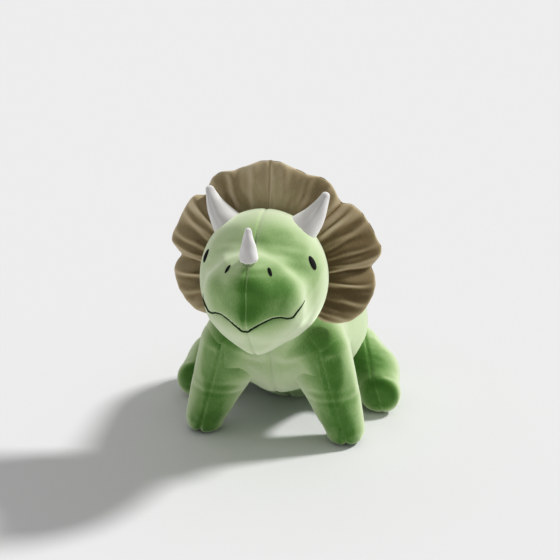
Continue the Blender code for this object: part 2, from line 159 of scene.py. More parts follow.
def torso_form(p):
    q = side(p)
    chest = ellipsoid(q, HEAD + vec(0, 86, -80), vec(49, 53, 72))
    barrel = ellipsoid(q, HEAD + vec(0, 119, -86), vec(66, 58, 59))
    rump = ellipsoid(q, HEAD + vec(0, 169, -112), vec(79, 62, 86))
    shoulder = taper(q, SHOULDER + vec(-7, 3, 4), SHOULDER + vec(9.0, -1.0, -36), 30 * MM, 22.8 * MM)
    neck = taper(q, HEAD + vec(0, 60, -60), HEAD + vec(0, 20, -20), 36 * MM, 32 * MM)
    trunk = blend(blend(chest, shoulder, 18 * MM), barrel, 30 * MM)
    body = blend(blend(trunk, rump, 40 * MM), neck, 16 * MM)
    return clip(body, -p[..., 2], 3 * MM)


def front_leg_form(p):
    foot = SHOULDER + vec(22.5, -3, -83)
    leg = taper(p, SHOULDER, foot, 26.5 * MM, 20.5 * MM)
    inner = taper(p, SHOULDER + vec(-10, -1, -28), SHOULDER + vec(9, -2, -60), 20 * MM, 17 * MM)
    whole = clip(blend(leg, inner, 12 * MM), -p[..., 2], 6 * MM)
    middle = (p - SHOULDER) @ np.array([0.965, 0.0, 0.262])
    toe = 1.8 * MM * bump(middle, 2.6 * MM) * bump(p[..., 2] - 5 * MM, 9 * MM)
    height = p[..., 2] - 50 * MM - 0.10 * (p[..., 0] - SHOULDER[0])
    crease = 0.45 * MM * bump(height, 2.6 * MM) + 0.25 * MM * bump(height - 10 * MM, 3.0 * MM)
    front = np.clip((SHOULDER[1] - p[..., 1]) / (12 * MM), 0.0, 1.0)
    return whole + (toe + crease) * front


def hind_leg_form(p):
    knee, toe = HIP + vec(22.5, -12, -18), HIP + vec(35.5, -43, -26.5)
    thigh = taper(p, HIP, knee, 31 * MM, 28.5 * MM)
    foot = taper(p, knee, toe, 28.5 * MM, 22.2 * MM)
    leg = blend(thigh, foot, 8 * MM)
    sole = -(p[..., 1] - (HIP[1] - 55 * MM))
    return clip(clip(leg, sole, 8 * MM), -p[..., 2], 6 * MM)


def tail_form(p):
    root = TAIL + vec(0, -25, 17)
    return taper(p, root, TAIL + vec(0, 34, -21.4), 25 * MM, 10 * MM)


# ---------------------------------------------------------------- meshing a form
def gradient(form, p, step=0.4 * MM):
    rise = [form(p + axis * step) - form(p - axis * step) for axis in np.eye(3)]
    return unit(np.stack(rise, axis=-1))


def settle(form, p, steps=3):
    """Moves points onto the form's surface."""
    for _ in range(steps):
        p = p - gradient(form, p) * np.clip(form(p), -2 * MM, 2 * MM)[..., None]
    return p


def relax(p, edges, share=0.6):
    total = np.zeros_like(p)
    count = np.zeros(len(p))
    for a, b in ((0, 1), (1, 0)):
        np.add.at(total, edges[:, a], p[edges[:, b]])
        np.add.at(count, edges[:, a], 1)
    return p + (total / count[:, None] - p) * share


def skin(form, low, high, cell):
    """Even quad mesh over a form: one point in each grid cell that the surface crosses."""
    counts = np.ceil((high - low) / cell).astype(int) + 1
    axes = [low[i] + cell * np.arange(counts[i]) for i in range(3)]
    inside = form(np.stack(np.meshgrid(*axes, indexing="ij"), axis=-1)) < 0.0
    corners = sum(
        inside[tuple(slice(c, c + n - 1) for c, n in zip(corner, counts))].astype(int)
        for corner in product((0, 1), repeat=3)
    )
    active = (corners > 0) & (corners < 8)
    index = np.full(active.shape, -1)
    index[active] = np.arange(active.sum())
    points = low + (np.argwhere(active) + 0.5) * cell
    faces = []
    for axis in range(3):
        first, second = (i for i in range(3) if i != axis)
        step = np.eye(3, dtype=int)
        middle = [slice(1, n - 1) for n in counts]
        lower, upper = middle.copy(), middle.copy()
        lower[axis], upper[axis] = slice(0, counts[axis] - 1), slice(1, counts[axis])
        near, far = inside[tuple(lower)], inside[tuple(upper)]
        crossing = np.argwhere(near != far)
        leaving = near[tuple(crossing.T)]
        base = crossing + step[first] + step[second]
        ring = (-step[first] - step[second], -step[second], 0 * step[0], -step[first])
        quad = np.stack([index[tuple((base + shift).T)] for shift in ring], axis=-1)
        upright = leaving if axis != 1 else ~leaving
        quad[~upright] = quad[~upright][:, ::-1]
        faces.append(quad)
    faces = np.concatenate(faces)
    edges = np.concatenate([faces[:, [i, (i + 1) % 4]] for i in range(4)])
    points = settle(form, points, 4)
    for _ in range(4):
        points = settle(form, relax(points, edges), 2)
    return points, faces


def ring_faces(rows, spokes, first=0):
    """Quads between rings of points that follow one another, from point number first."""
    faces = []
    for row in range(rows):
        for k in range(spokes):
            here, there = first + row * spokes + k, first + row * spokes + (k + 1) % spokes
            faces.append([here, there, there + spokes, here + spokes])
    return faces


def mesh_object(name, points, faces):
    mesh = bpy.data.meshes.new(name)
    mesh.from_pydata([tuple(p) for p in points], [], [tuple(f) for f in faces])
    mesh.validate()
    piece = bpy.data.objects.new(name, mesh)
    bpy.context.scene.collection.objects.link(piece)
    mesh.shade_smooth()
    return piece


def distance_to(plane, points):
    point, normal = plane
    normal = unit(np.array(normal))
    return (points - np.array(point)) @ normal, normal


# ---------------------------------------------------------------- stuffing
PRESSURE = 4.0            # of the filling, in the cloth modifier's unit
CLOTH_STEPS = 20
SEAM_GRIP = 1.6 * MM      # fabric this near a seam is held
FLOOR_GRIP = 1.5 * MM     # and so is fabric this near the floor


def stuff(name, form, body, seams, cap=5 * MM, shrink=0.8 * MM, slack=0.007, calm=5):
    """Fills the sewn shell: cloth under pressure, held along its seams."""
    points, faces = body
    held = points[:, 2] < FLOOR_GRIP
    start = points - gradient(form, points) * shrink
    start[held, 2] = points[held, 2]
    for seam in seams:
        held |= np.abs(distance_to(seam, points)[0]) < SEAM_GRIP
    shell = mesh_object(name, start, faces)
    pins = shell.vertex_groups.new(name="seam")
    pins.add([int(i) for i in np.flatnonzero(held)], 1.0, "REPLACE")
    cloth = shell.modifiers.new("Cloth", "CLOTH")
    settings = cloth.settings
    settings.quality = 4
    settings.mass = 0.05
    settings.use_pressure = True
    settings.uniform_pressure_force = PRESSURE
    settings.vertex_group_mass = "seam"
    settings.shrink_min = -slack
    settings.bending_stiffness = 4.0
    settings.effector_weights.gravity = 0.0
    cloth.collision_settings.use_collision = False
    scene = bpy.context.scene
    for step in range(CLOTH_STEPS):
        scene.frame_set(step + 1)
    filled = shell.evaluated_get(bpy.context.evaluated_depsgraph_get())
    moved = np.array([v.co for v in filled.data.vertices]) - points
    scene.frame_set(1)
    bpy.data.objects.remove(shell)
    reach = np.linalg.norm(moved, axis=1, keepdims=True)
    moved = moved * np.minimum(1.0, cap / np.maximum(reach, 1e-9))
    edges = np.concatenate([faces[:, [i, (i + 1) % 4]] for i in range(4)])
    for _ in range(calm):
        moved = relax(moved, edges)
    moved[points[:, 2] + moved[:, 2] < 0.0, 2] = 0.0
    return points + moved, faces


# ---------------------------------------------------------------- cutting forms into panels
def align(form, body, seams, cell):
    """Brings the points nearest each seam exactly onto it, so that the seam runs along edges."""
    points, faces = body
    for seam in seams:
        off, normal = distance_to(seam, points)
        away = gradient(form, points)
        along = normal - away * (away @ normal)[:, None]
        along /= np.maximum(np.linalg.norm(along, axis=1, keepdims=True) ** 2, 0.2)
        near = np.abs(off) < 0.42 * cell
        points = np.where(near[:, None], points - along * off[:, None], points)
    return points, faces


def groove(form, body, seam, depth, width, half=0.0):
    """Sinks the fabric along a seam, where it is sewn; half limits it to one side of the toy, 1 or -1."""
    points, faces = body
    off, _ = distance_to(seam, points)
    sunk = depth * bump(off, width)
    if half:
        sunk = sunk * (points[:, 0] * half > 0)
    return points - gradient(form, points) * sunk[:, None], faces


def point_normals(points, faces):
    corner = [points[faces[:, i]] for i in range(4)]
    turn = np.cross(corner[2] - corner[0], corner[3] - corner[1])
    total = np.zeros_like(points)
    for i in range(4):
        np.add.at(total, faces[:, i], turn)
    return unit(total)


def panel(name, body, cuts, thickness=CLOTH):
    """Fabric shell: the part of the body mesh on the far side of every cutting plane."""
    points, faces = body
    normals = point_normals(points, faces)
    bm = bmesh.new()
    lean = bm.verts.layers.float_vector.new("lean")
    made = []
    for point, normal in zip(points, normals):
        vertex = bm.verts.new(point)
        vertex[lean] = normal
        made.append(vertex)
    for face in faces:
        bm.faces.new([made[i] for i in face])
    for point, normal in cuts:
        whole = bm.verts[:] + bm.edges[:] + bm.faces[:]
        bmesh.ops.bisect_plane(
            bm, geom=whole, dist=2e-5, plane_co=point, plane_no=normal, clear_inner=True,
        )
    bm.verts.index_update()
    outer = np.array([v.co for v in bm.verts])
    away = unit(np.array([v[lean] for v in bm.verts]))
    polygons = [[v.index for v in f.verts] for f in bm.faces]
    rim = [[loop.vert.index, loop.link_loop_next.vert.index]
           for f in bm.faces for loop in f.loops if loop.edge.is_boundary]
    bm.free()
    inner = outer - away * thickness
    count = len(outer)
    shell = polygons + [[i + count for i in reversed(f)] for f in polygons]
    shell += [[b, a, a + count, b + count] for a, b in rim]
    piece = mesh_object(name, np.vstack([outer, inner]), shell)
    if len(piece.data.vertices) == 2 * count:
        piece.data.normals_split_custom_set_from_vertices(np.vstack([away, -away]))
    return piece


LEFT = ((0.0, 0.0, 0.0), (1.0, 0.0, 0.0))
RIGHT = ((0.0, 0.0, 0.0), (-1.0, 0.0, 0.0))


# ---------------------------------------------------------------- materials
STREAKS = 0.28            # how far the brushed pile shifts the colour


def velvet(name, deep, mid, pale, palest, tint, grain=900.0, sheen=1.0):
    """Short-pile fabric: brushed streaks, lighter patches, and painted sheen: the base colour runs from
    deep to palest as the surface turns side on to the view, shifted by the painted light and tone kept on
    each piece.
    """
    made = bpy.data.materials.new(name)
    made.use_nodes = True
    nodes, links = made.node_tree.nodes, made.node_tree.links
    shader = nodes["Principled BSDF"]
    place = nodes.new("ShaderNodeTexCoord")
    stretch = nodes.new("ShaderNodeMapping")
    stretch.inputs["Scale"].default_value = (1.0, 1.0, 0.3)
    links.new(place.outputs["Object"], stretch.inputs["Vector"])
    pile = nodes.new("ShaderNodeTexNoise")
    pile.inputs["Scale"].default_value = grain
    pile.inputs["Detail"].default_value = 3.0
    patches = nodes.new("ShaderNodeTexNoise")
    patches.inputs["Scale"].default_value = 42.0
    patches.inputs["Detail"].default_value = 5.0
    patches.inputs["Roughness"].default_value = 0.62
    links.new(stretch.outputs["Vector"], pile.inputs["Vector"])
    links.new(place.outputs["Object"], patches.inputs["Vector"])
    shade = nodes.new("ShaderNodeMath")
    shade.operation = "MULTIPLY_ADD"
    shade.inputs[1].default_value = 0.6
    links.new(pile.outputs["Fac"], shade.inputs[0])
    soft = nodes.new("ShaderNodeMath")
    soft.operation = "MULTIPLY"
    soft.inputs[1].default_value = 0.5
    links.new(patches.outputs["Fac"], soft.inputs[0])
    links.new(soft.outputs[0], shade.inputs[2])
    # Painted sheen: the side-on share of the view, fed into the base colour ramp.
    facing = nodes.new("ShaderNodeLayerWeight")
    facing.inputs["Blend"].default_value = 0.5
    turned = nodes.new("ShaderNodeMath")
    turned.operation = "MULTIPLY_ADD"
    turned.inputs[1].default_value = STREAKS
    links.new(shade.outputs[0], turned.inputs[0])
    # Painted light and tone stored on each piece: painted sheen, painted shade and a faint random change
    # of tone.
    nap = nodes.new("ShaderNodeAttribute")
    nap.attribute_name = "nap"
    painted_light_and_tone_total = nodes.new("ShaderNodeMath")
    painted_light_and_tone_total.operation = "ADD"
    links.new(facing.outputs["Facing"], painted_light_and_tone_total.inputs[0])
    links.new(nap.outputs["Fac"], painted_light_and_tone_total.inputs[1])
    links.new(painted_light_and_tone_total.outputs[0], turned.inputs[2])
    ramp = nodes.new("ShaderNodeValToRGB")
    ramp.color_ramp.interpolation = "B_SPLINE"
    shift = 0.55 * STREAKS
    # Colour stops from facing the view to side on; the pale and palest stops are painted sheen.
    stops = ((0.03, deep), (0.19, mid), (0.46, pale), (0.78, palest))
    while len(ramp.color_ramp.elements) < len(stops):
        ramp.color_ramp.elements.new(0.5)
    for element, (position, tone) in zip(ramp.color_ramp.elements, stops):
        element.position = position + shift
        element.color = (*tone, 1.0)
    links.new(turned.outputs[0], ramp.inputs["Fac"])
    links.new(ramp.outputs["Color"], shader.inputs["Base Color"])
    rough = nodes.new("ShaderNodeMapRange")
    rough.inputs["To Min"].default_value = 0.78
    rough.inputs["To Max"].default_value = 0.98
    links.new(patches.outputs["Fac"], rough.inputs["Value"])
    links.new(rough.outputs["Result"], shader.inputs["Roughness"])
    bump_node = nodes.new("ShaderNodeBump")
    bump_node.inputs["Strength"].default_value = 0.4
    bump_node.inputs["Distance"].default_value = 0.35 * MM
    links.new(shade.outputs[0], bump_node.inputs["Height"])
    links.new(bump_node.outputs["Normal"], shader.inputs["Normal"])
    shader.inputs["Sheen Weight"].default_value = sheen
    shader.inputs["Sheen Roughness"].default_value = 0.4
    shader.inputs["Sheen Tint"].default_value = (*tint, 1.0)
    shader.inputs["Specular IOR Level"].default_value = 0.08
    return made


# Each fabric's tones run from facing the view to side on; the paler ones are painted sheen.
GREEN = velvet(
    "green velvet", (0.050, 0.150, 0.020), (0.115, 0.262, 0.052), (0.43, 0.575, 0.27), (0.65, 0.74, 0.50),
    (0.85, 0.95, 0.70),
)
BROWN = velvet(
    "brown velvet", (0.086, 0.060, 0.026), (0.168, 0.124, 0.058), (0.40, 0.322, 0.185), (0.58, 0.49, 0.34),
    (0.70, 0.57, 0.37),
)
WHITE = velvet(
    "white fleece", (0.61, 0.59, 0.575), (0.69, 0.67, 0.655), (0.79, 0.78, 0.765), (0.87, 0.865, 0.85),
    (1.0, 1.0, 1.0), grain=1100.0, sheen=0.4,
)
BLACK = velvet(
    "black thread", (0.004, 0.005, 0.004), (0.008, 0.009, 0.008), (0.015, 0.015, 0.015),
    (0.03, 0.03, 0.03), (0.3, 0.3, 0.3), sheen=0.05,
)
DARK = velvet(
    "dark green thread", (0.008, 0.022, 0.006), (0.014, 0.035, 0.010), (0.03, 0.06, 0.02),
    (0.05, 0.08, 0.04), (0.4, 0.5, 0.3), sheen=0.1,
)


def paint_light_and_tone(piece):
    """Painted light and tone in the fabric colour: painted sheen paling the forehead, chin, chest and
    frill top, painted shade darkening the underside of the body, and a faint random change of tone.
    """
    points = np.array([v.co for v in piece.data.vertices])
    up = np.array([v.normal[2] for v in piece.data.vertices])
    x, y, z = (points - HEAD).T
    # A faint random change of tone, the fabric's own.
    lift = 0.03 * np.sin(x * 90 + z * 61) * np.sin(y * 73 - z * 47)
    if piece.name.startswith(("face", "jaw")):
        # Painted sheen: forehead and chin made paler, as where light catches the pile.
        below = mouth_height(x) - z
        chin = np.clip((below + 1 * MM) / (7 * MM), 0, 1) * np.clip((25 * MM - y) / (40 * MM), 0, 1)
        forehead = np.clip((z - 20 * MM) / (22 * MM), 0, 1)
        lift += 0.17 * forehead + 0.13 * chin
    elif piece.name.startswith("frill"):
        # Painted sheen: the top of the frill made paler.
        lift += 0.50 * bump(x, 66 * MM) * np.clip(z / (50 * MM), 0, 1) - 0.08
    elif piece.name.startswith(("belly", "back", "front_leg")):
        # Painted sheen on the chest, painted shade on the underside of the body.
        height = points[:, 2]
        chest = bump(x, 46 * MM) * np.clip((20 * MM - points[:, 1]) / (30 * MM), 0, 1)
        underside = np.clip((55 * MM - height) / (30 * MM), 0, 1) * np.clip(-up * 1.5 - 0.1, 0, 1)
        lift += 0.30 * chest * np.clip((height - 30 * MM) / (30 * MM), 0, 1) - 0.03 - 0.55 * underside
    else:
        lift -= 0.03
    layer = piece.data.attributes.new("nap", "FLOAT", "POINT")
    layer.data.foreach_set("value", lift.astype(np.float32))


def dress(piece, material, nodes, body):
    """Gives a piece its fabric and the nodes it stands for, and lets it ride on a body."""
    piece.data.materials.clear()
    piece.data.materials.append(material)
    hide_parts(*nodes)
    if body:
        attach(piece, body)


def dress_padded(piece, material, nodes, body):
    paint_light_and_tone(piece)
    dress(piece, material, nodes, body)


# ---------------------------------------------------------------- torso, legs and tail
ARMHOLE = np.array([0.89, 0.0, -0.456])   # outward, square to the plane where the left shoulder begins
ARMHOLE_OUT = 15 * MM                     # from the toy's middle to that plane
SHOULDER_OUT = 36 * MM                    # further out along the same line; leg_in is computed from it but not used
ARMHOLE_BACK = vec(0, 2, 0)               # behind the shoulders
FLANK = math.radians(136)                 # turn of the flank seam from the top of the back


def flank_seam(flip):
    """Seam between back and belly on one side, 1 for left or -1 for right, on the line to the head."""
    core = HEAD + vec(0, 133, -90)
    along = HEAD - core
    up = unit(np.array([0.0, -along[2], along[1]]))
    up *= np.sign(up[2])
    return core, math.sin(FLANK) * up - math.cos(FLANK) * np.array([flip, 0.0, 0.0])


def build_torso():
    form, cell = torso_form, 2.4 * MM
    seams = [LEFT, flank_seam(1.0), flank_seam(-1.0)]
    body = skin(form, HEAD + vec(-94.8, 0, -195), HEAD + vec(94.8, 250, 10), cell)
    body = stuff("torso cloth", form, align(form, body, seams, cell), seams)
    body = groove(form, body, LEFT, 1.6 * MM, 1.4 * MM)
    behind = np.array([0.0, 1.0, 0.0])
    for name, flip, half in (("left", 1.0, LEFT), ("right", -1.0, RIGHT)):
        seam = flank_seam(flip)
        fabric = groove(form, body, seam, 1.0 * MM, 1.3 * MM, half=flip)
        out = ARMHOLE * np.array([flip, 1.0, 1.0])
        edge, leg_in = out * ARMHOLE_OUT, out * SHOULDER_OUT
        for part, facing in (("back", seam[1]), ("belly", -seam[1])):
            label, node = f"{part}_{name}", f"{part}_panel_{name}"
            cuts = (half, (seam[0], facing))
            middle = panel(label, fabric, (*cuts, (edge, -out)))
            rear = panel(f"{label}_rear", fabric, (*cuts, (edge, out), (ARMHOLE_BACK, behind)))
            for piece in (middle, rear):
                dress_padded(piece, GREEN, [node], "torso")
            shoulder = panel(f"{label}_shoulder", fabric, (*cuts, (edge, out), (ARMHOLE_BACK, -behind)))
            dress_padded(shoulder, GREEN, [node], None)
            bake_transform(shoulder)
    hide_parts("torso_filling")


def build_limb(name, form, low, high, seam, labels, flip):
    """Two panels, split along the seam plane, on the body of the same name."""
    cell = 1.9 * MM
    body = align(form, skin(form, low, high, cell), (seam,), cell)
    body = groove(form, stuff(f"{name} cloth", form, body, (seam,)), seam, 1.0 * MM, 1.2 * MM)
    point, normal = seam
    if flip < 0:
        body = (body[0] * MIRROR, body[1][:, ::-1])
        point, normal = np.array(point) * MIRROR, np.array(normal) * MIRROR
    for label, sign in zip(labels, (1.0, -1.0)):
        piece = panel(f"{name}_{label}", body, ((point, sign * np.array(normal)),))
        dress_padded(piece, GREEN, [f"{name}_{label}_panel"], name)
    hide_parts(f"{name}_filling")


def build_legs():
    front_seam = (SHOULDER, np.array([0.965, 0.0, 0.262]))
    hind_seam = (vec(93, 28, 32), np.array([0.954, 0.098, 0.283]))
    for name, flip in (("left", 1.0), ("right", -1.0)):
        low, high = SHOULDER + vec(-40, -35, -102), SHOULDER + vec(52, 35, 36)
        build_limb(f"front_leg_{name}", front_leg_form, low, high, front_seam, ("outer", "inner"), flip)
        low, high = HIP + vec(-40, -72, -52), HIP + vec(70, 45, 40)
        build_limb(f"hind_leg_{name}", hind_leg_form, low, high, hind_seam, ("outer", "inner"), flip)


def build_tail():
    low, high = TAIL + vec(-31.35, -60, -40), TAIL + vec(31.35, 52, 50)
    build_limb("tail", tail_form, low, high, LEFT, ("left", "right"), 1.0)


# ---------------------------------------------------------------- head
SKIN = {}


def on_skin(points, evened=0):
    """Points of the finished head fabric over points of its form, and the way out from it."""
    away = gradient(head_base, points)
    lift = np.zeros(len(points))
    for i, (spot, out) in enumerate(zip(points, away)):
        hit = SKIN["head"].ray_cast(Vector(spot + out * 8 * MM), Vector(-out), 16 * MM)[0]
        if hit:
            lift[i] = (np.array(hit) - spot) @ out
    for _ in range(evened):
        lift[1:-1] = 0.25 * lift[:-2] + 0.5 * lift[1:-1] + 0.25 * lift[2:]
    return points + away * lift[:, None], away


def build_head():
    form, cell = head_form, 1.6 * MM
    tilt = (HEAD + vec(0, -14, -2), np.array([0.0, -0.21, 0.98]))
    body = skin(form, HEAD + vec(-72.8, -100, -74), HEAD + vec(72.8, 72, 74), cell)
    body = align(form, body, (LEFT,), cell)
    body = stuff("head cloth", form, body, (LEFT,), cap=2.0 * MM, slack=0.008, calm=30)
    body = groove(form, body, LEFT, 1.5 * MM, 1.2 * MM)
    SKIN["head"] = BVHTree.FromPolygons([tuple(p) for p in body[0]], [tuple(f) for f in body[1]])
    for name, half in (("left", LEFT), ("right", RIGHT)):
        piece = panel(f"face_{name}", body, (half, tilt))
        dress_padded(piece, GREEN, [f"head_panel_{name}"], "head")
    jaw = panel("jaw", body, ((tilt[0], -tilt[1]),))
    dress_padded(jaw, GREEN, ["jaw_panel"], "head")
    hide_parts("head_filling")


# ---------------------------------------------------------------- thread
STITCH_PITCH = 0.42 * MM


def tube(name, routes, radius, sides=6):
    """Threads along the given routes, each closed at its ends."""
    points, faces = [], []
    for route in routes:
        route = np.asarray(route)
        ahead = unit(np.gradient(route, axis=0))
        across = unit(np.cross(ahead, [0.13, 0.31, 0.94]))
        lift = np.cross(ahead, across)
        first = len(points)
        for spot, a, b, share in zip(route, across, lift, np.linspace(-1, 1, len(route))):
            girth = radius * (1.0 - 0.75 * abs(share) ** 12)
            for k in range(sides):
                turn = 2 * math.pi * k / sides
                points.append(spot + girth * (math.cos(turn) * a + math.sin(turn) * b))
        faces += ring_faces(len(route) - 1, sides, first)
        last = first + (len(route) - 1) * sides
        faces.append([first + k for k in reversed(range(sides))])
        faces.append([last + k for k in range(sides)])
    return mesh_object(name, points, faces)


def on_head(x, z):
    """Points of the face straight in front of x and z, given from the head's pivot."""
    x, z = np.atleast_1d(x), np.atleast_1d(z)
    spot = HEAD + np.stack([x, np.full(x.shape, -0.11), z], axis=-1)
    for _ in range(60):
        spot[..., 1] += np.clip(head_base(spot), 0.0, None) * 0.8
    return spot


def satin(name, point, across, half_width, half_height, lean, node):
    """Oval of black satin stitches lying on the face: close threads side by side over a low dome."""
    point = settle(head_form, point[None], 4)[0]
    out = gradient(head_form, point[None])[0]
    side_way = unit(np.array(across) - out * (np.array(across) @ out))
    up = np.cross(out, side_way)
    up *= np.sign(up[2])
    turn = math.radians(lean)
    a = (side_way * math.cos(turn) + up * math.sin(turn)) * half_width
    b = (up * math.cos(turn) - side_way * math.sin(turn)) * half_height
    count = int(2 * half_height / STITCH_PITCH)
    steps = np.linspace(-1, 1, 11)
    routes = []
    for row in range(count):
        v = (row + 0.5) / count * 2 - 1
        reach = math.sqrt(max(1 - v * v, 0.0)) + 0.15 * MM / half_width
        line, away = on_skin(np.array([point + a * reach * u + b * v for u in steps]), 2)
        fall = 1 - 0.85 * steps**2 * (1 - v * v) - 0.9 * v * v
        crown = 0.9 * MM * np.sqrt(np.clip(fall, 0.0, 1.0)) - 0.1 * MM
        routes.append(line + away * crown[:, None])
    piece = tube(name, routes, 0.34 * MM)
    merge(piece, *satin_bed(point, a, b))
    dress(piece, BLACK, [node], "head")


def satin_bed(point, a, b):
    """Padding under the stitches: a low dome on the face."""
    rings, spokes = 6, 28
    points = []
    for row in range(rings + 1):
        for k in range(spokes):
            turn = 2 * math.pi * k / spokes
            points.append(point + (a * math.cos(turn) + b * math.sin(turn)) * row / rings)
    points, away = on_skin(np.array(points))
    shares = np.repeat(np.arange(rings + 1) / rings, spokes)
    points = points + away * (0.75 * MM * np.sqrt(np.clip(1 - shares**2, 0, 1)) - 0.3 * MM)[:, None]
    return points, [[a, d, c, b] for a, b, c, d in ring_faces(rings, spokes)]


def merge(piece, points, faces):
    old = [tuple(v.co) for v in piece.data.vertices]
    kept = [list(f.vertices) for f in piece.data.polygons]
    kept += [[i + len(old) for i in f] for f in faces]
    piece.data.clear_geometry()
    piece.data.from_pydata(old + [tuple(p) for p in points], [], kept)
    piece.data.validate()
    piece.data.shade_smooth()


def build_face():
    for name, flip in (("left", 1.0), ("right", -1.0)):
        eye = HEAD + vec(flip * 54, -18, 28)
        satin(f"stitched_eye_{name}", eye, (flip * 0.6, -0.8, 0), 3.5 * MM, 7.3 * MM, 20, f"eye_{name}")
        nostril = on_head(flip * 19.5 * MM, 32 * MM)[0]
        satin(f"stitched_nostril_{name}", nostril, (flip, 0, 0), 1.6 * MM, 4.2 * MM, 30, f"nostril_{name}")
    x = np.linspace(-47.6, 47.6, 161) * MM
    route = on_head(x, mouth_height(x) - 0.4 * MM)
    route[1:-1] = 0.25 * route[:-2] + 0.5 * route[1:-1] + 0.25 * route[2:]
    route, away = on_skin(settle(head_base, route), 6)
    piece = tube("stitched_mouth", [route + away * 0.5 * MM], 1.15 * MM, 8)
    dress(piece, DARK, ["mouth_thread"], "head")


# ---------------------------------------------------------------- horns
def horn(name, base, tip, bend, start_radius, end_radius, seam_turn, nodes):
    """Stuffed fleece cone on a bent centre line, gathered a little at its sewn base."""
    rows, spokes, cap_start = 44, 48, 0.86
    middle = 0.5 * (base + tip) + bend
    a = unit(np.cross(tip - base, [0.0, 1.0, 0.0]))
    points = []
    for row in range(rows + 1):
        t = row / rows
        along = min(t / cap_start, 1.0)
        spot = (1 - along) ** 2 * base + 2 * along * (1 - along) * middle + along ** 2 * tip
        ahead = unit((1 - along) * (middle - base) + along * (tip - middle))
        right = unit(a - ahead * (a @ ahead))
        front = np.cross(ahead, right)
        radius = start_radius + (end_radius - start_radius) * along
        if t > cap_start:
            round_off = math.radians(90) * (t - cap_start) / (1 - cap_start)
            spot = spot + ahead * end_radius * math.sin(round_off)
            radius = max(end_radius * math.cos(round_off), 0.05 * MM)
        for k in range(spokes):
            turn = 2 * math.pi * k / spokes
            gather = 0.35 * MM * math.cos(9 * turn + 0.6) * math.exp(-along / 0.10)
            swell = 0.5 * MM * math.sin(math.pi * min(along * 1.15, 1.0))
            wander = 0.3 * MM * math.sin(3 * turn + 7 * along) * math.sin(5 * along)
            off = min(abs(turn - seam_turn), 2 * math.pi - abs(turn - seam_turn))
            seam = 0.9 * MM * math.exp(-((off / 0.11) ** 2)) * min(1.0, (1.0 - t) * 8)
            tuck = 1.2 * MM * math.exp(-along / 0.035)
            relief = (gather + swell + wander - seam - tuck) * min(1.0, (1 - t) * 6)
            girth = max(radius + relief, 0.04 * MM)
            points.append(spot + girth * (math.cos(turn) * right + math.sin(turn) * front))
    faces = ring_faces(rows, spokes)
    faces.append([k for k in reversed(range(spokes))])
    faces.append([rows * spokes + k for k in range(spokes)])
    piece = mesh_object(name, points, faces)
    dress_padded(piece, WHITE, nodes, "head")


def build_horns():
    for name, flip in (("left", 1.0), ("right", -1.0)):
        base = HEAD + vec(flip * 31, 13, 44)
        tip = HEAD + vec(flip * 54.5, 22, 78)
        horn(f"fleece_horn_{name}", base, tip, vec(flip * 4, 0, -4), 16.5 * MM, 4.2 * MM,
             1.4, [f"brow_horn_{name}", f"brow_horn_{name}_filling"])
    base, tip = HEAD + vec(0, -58, 41), HEAD + vec(0, -61, 68.5)
    horn("fleece_horn_nose", base, tip, vec(0, -1.5, 0), 8.9 * MM, 3.0 * MM,
         4.7, ["nose_horn", "nose_horn_filling"])


# ---------------------------------------------------------------- frill
NOTCHES = (44.0, -1.0)    # angle up from the side, in degrees, where two lobes meet and overlap
FRILL_END = -46.0
FRILL_BACK = 29           # mm from the head's pivot back to where the frill is sewn on
# Pleats: angle up from the side and width in degrees, height in mm.
PLEATS = (
    (90, 1.2, -1.4), (81, 4.0, 1.0), (67, 3.6, 1.7), (56.5, 3.0, 1.0), (50, 2.6, 1.2),
    (38, 3.4, 2.4), (27.5, 2.6, 1.4), (15, 3.4, 2.6), (7, 2.4, 1.9),
    (-8, 2.6, 2.4), (-20, 3.4, 1.3), (-32, 4.0, 1.6),
)
# Rim: angle up from the side in degrees, radius in mm.
RIM = np.array([
    (-46, 79), (-43, 86), (-36, 94.5), (-28, 99.5), (-16, 101.5), (-10, 101.5), (-4.5, 98.5),
    (-1.5, 93), (2.5, 99), (6, 104), (10, 105), (15.5, 102), (26, 100.5), (36, 100), (40.5, 99),
    (43.5, 90.5), (47, 93.5), (51, 97), (56, 101.5), (61.5, 102.5), (70, 99), (78, 101), (84, 104),
    (90, 104.5), (96, 104),
]).T


def frill_rim(up):
    """Outline radius in metres at an angle up from the side: a lobe between each pair of notches."""
    near = ((-1.3, 0.25), (0.0, 0.5), (1.3, 0.25))
    return sum(weight * np.interp(up + shift, RIM[0], RIM[1]) for shift, weight in near) * MM


def frill_inner(angle):
    """Radius at which the front of the frill meets the head."""
    low, high = np.full(angle.shape, 20 * MM), np.full(angle.shape, 90 * MM)
    turn, behind = np.radians(angle), np.full(angle.shape, FRILL_BACK * MM)
    for _ in range(26):
        middle = 0.5 * (low + high)
        spot = HEAD + np.stack([middle * np.cos(turn), behind, middle * np.sin(turn)], -1)
        within = head_form(spot) < -2.5 * MM
        low, high = np.where(within, middle, low), np.where(within, high, middle)
    return high


